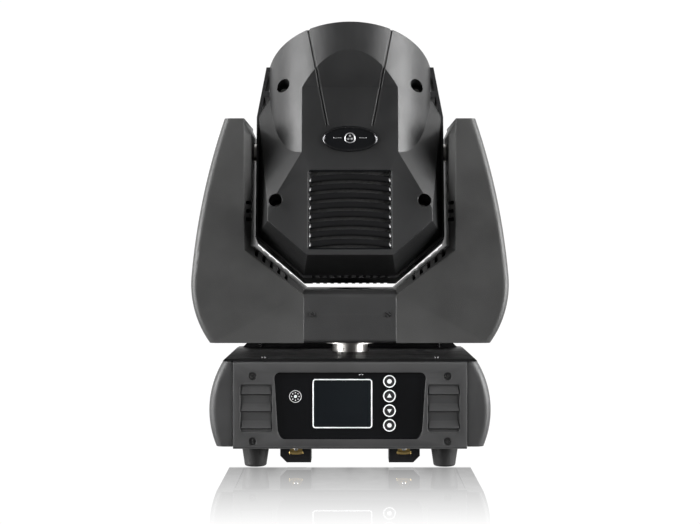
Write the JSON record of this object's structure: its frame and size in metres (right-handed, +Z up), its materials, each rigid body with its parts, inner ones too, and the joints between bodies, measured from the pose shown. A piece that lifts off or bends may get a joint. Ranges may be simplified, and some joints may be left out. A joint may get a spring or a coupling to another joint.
{
  "type": "moving head light",
  "caption": "Stage light on a base with a menu display: a yoke pans on the base and a round-hooded head tilts between its arms.",
  "frame": {"origin": "on the pan axis, at the level that the feet stand on, under the middle of the base", "axes": "+Z up along the pan axis, -Y towards whoever reads the display, +X to that reader's right, along the tilt axis"},
  "size_m": [0.3448, 0.24, 0.4783],
  "materials": {
    "black_sheet": "black powder coat",
    "shell_base": "fine-textured satin dark grey moulded plastic",
    "gloss_black": "polished black",
    "screen": "dark display window",
    "board": "green circuit board",
    "aluminium": "as-extruded aluminium",
    "socket": "black moulded nylon",
    "rubber": "matt black rubber",
    "brass": "bright brass",
    "zinc": "bright zinc-plated steel",
    "steel": "turned steel",
    "motor": "black motor case with ground ends",
    "belt": "black toothed belt",
    "button": "gloss with a pale printed ring",
    "shell": "fine-textured satin dark grey moulded plastic",
    "frame_black": "satin black coat",
    "lens": "clear coated glass",
    "fan": "black moulded fan",
    "filter": "aluminium wheel"
  },
  "bodies": {
    "base": {"base_tray": "black_sheet", "top_cover": "black_sheet", "rear_housing": "black_sheet", "front_bezel": "shell_base", "side_cover_left": "shell_base", "side_cover_right": "shell_base", "control_panel": "gloss_black", "display_screen": "screen", "circuit_boards": "board", "power_supply": "aluminium", "power_sockets": "socket", "data_sockets": "socket", "rubber_feet": "rubber", "camlock_sockets": "socket", "camlock_springs": "brass", "safety_eye": "zinc", "pan_bearing": "steel", "pan_motor": "motor", "pan_belt": "belt", "case_screws": "zinc"},
    "switch_rocker": {"power_switch": "button"},
    "button_1": {"menu_button_1": "button"},
    "button_2": {"menu_button_2": "button"},
    "button_3": {"menu_button_3": "button"},
    "button_4": {"menu_button_4": "button"},
    "pan_pinion": {"pan_motor_pulley": "aluminium"},
    "yoke": {"yoke_frame": "zinc", "pan_shaft": "steel", "pan_pulley": "aluminium", "arm_cover_left": "shell", "arm_cover_right": "shell", "inner_cover_left": "shell", "inner_cover_right": "shell", "centre_cover_front": "shell", "centre_cover_rear": "shell", "yoke_screws": "zinc", "tilt_motor": "motor", "tilt_belt": "belt", "tilt_bearings": "steel"},
    "tilt_pinion": {"tilt_motor_pulley": "aluminium"},
    "lock_lever": {"tilt_lock_lever": "zinc"},
    "head": {"head_frame": "frame_black", "head_cover_front": "shell", "head_cover_rear": "shell", "fan_grilles": "gloss_black", "badges": "gloss_black", "cover_screws": "zinc", "tilt_shafts": "steel", "lens_ring": "frame_black", "front_lens": "lens", "heat_sink": "aluminium", "light_engine": "aluminium", "fan_frames": "fan", "optics_deck": "aluminium", "wheel_motors": "motor"},
    "front_fan": {"fan_impeller_front": "fan"},
    "rear_fan": {"fan_impeller_rear": "fan"},
    "colour_disc": {"colour_wheel": "filter"},
    "gobo_disc": {"gobo_wheel": "filter"},
    "focus_slide": {"focus_carriage": "frame_black"}
  },
  "joints": [
    {"name": "pan", "type": "hinge", "parent": "base", "child": "yoke", "pos_m": [0, 0, 0.13], "axis": [0, 0, 1], "range_deg": [-270, 270]},
    {"name": "tilt", "type": "hinge", "parent": "yoke", "child": "head", "pos_m": [0, 0, 0.34], "axis": [1, 0, 0], "range_deg": [-125, 145]},
    {"name": "pan_motor_turn", "type": "hinge", "parent": "base", "child": "pan_pinion", "pos_m": [0.076, 0, 0.08], "axis": [0, 0, 1], "range_deg": [-1625, 1625]},
    {"name": "tilt_motor_turn", "type": "hinge", "parent": "yoke", "child": "tilt_pinion", "pos_m": [-0.132, 0, 0.222], "axis": [1, 0, 0], "range_deg": [-380, 440]},
    {"name": "tilt_lock", "type": "slide", "parent": "yoke", "child": "lock_lever", "axis": [0.8021, 0, 0.5972], "range_m": [0, 0.006]},
    {"name": "front_fan_spin", "type": "hinge", "parent": "head", "child": "front_fan", "pos_m": [0, -0.07405, 0.27132], "axis": [0, -0.9848, 0.1736], "continuous": true},
    {"name": "rear_fan_spin", "type": "hinge", "parent": "head", "child": "rear_fan", "pos_m": [0, 0.04609, 0.25013], "axis": [0, 0.9848, -0.1736], "continuous": true},
    {"name": "colour_wheel_turn", "type": "hinge", "parent": "head", "child": "colour_disc", "pos_m": [-0.04, 0.00156, 0.34886], "axis": [0, 0.1736, 0.9848], "continuous": true},
    {"name": "gobo_wheel_turn", "type": "hinge", "parent": "head", "child": "gobo_disc", "pos_m": [0.04, 0.00261, 0.35477], "axis": [0, 0.1736, 0.9848], "continuous": true},
    {"name": "focus_travel", "type": "slide", "parent": "head", "child": "focus_slide", "axis": [0, 0.1736, 0.9848], "range_m": [-0.008, 0.008]},
    {"name": "power_rocker", "type": "hinge", "parent": "base", "child": "switch_rocker", "pos_m": [-0.046, 0.117, 0.084], "axis": [1, 0, 0], "range_deg": [-7, 7]},
    {"name": "button_1_press", "type": "slide", "parent": "base", "child": "button_1", "axis": [0, 1, 0], "range_m": [0, 0.0008], "stiffness_N_per_m": 400},
    {"name": "button_2_press", "type": "slide", "parent": "base", "child": "button_2", "axis": [0, 1, 0], "range_m": [0, 0.0008], "stiffness_N_per_m": 400},
    {"name": "button_3_press", "type": "slide", "parent": "base", "child": "button_3", "axis": [0, 1, 0], "range_m": [0, 0.0008], "stiffness_N_per_m": 400},
    {"name": "button_4_press", "type": "slide", "parent": "base", "child": "button_4", "axis": [0, 1, 0], "range_m": [0, 0.0008], "stiffness_N_per_m": 400}
  ],
  "couplings": [
    {"joint": "pan_motor_turn", "follows": "pan", "ratio": 6},
    {"joint": "tilt_motor_turn", "follows": "tilt", "ratio": 3}
  ]
}
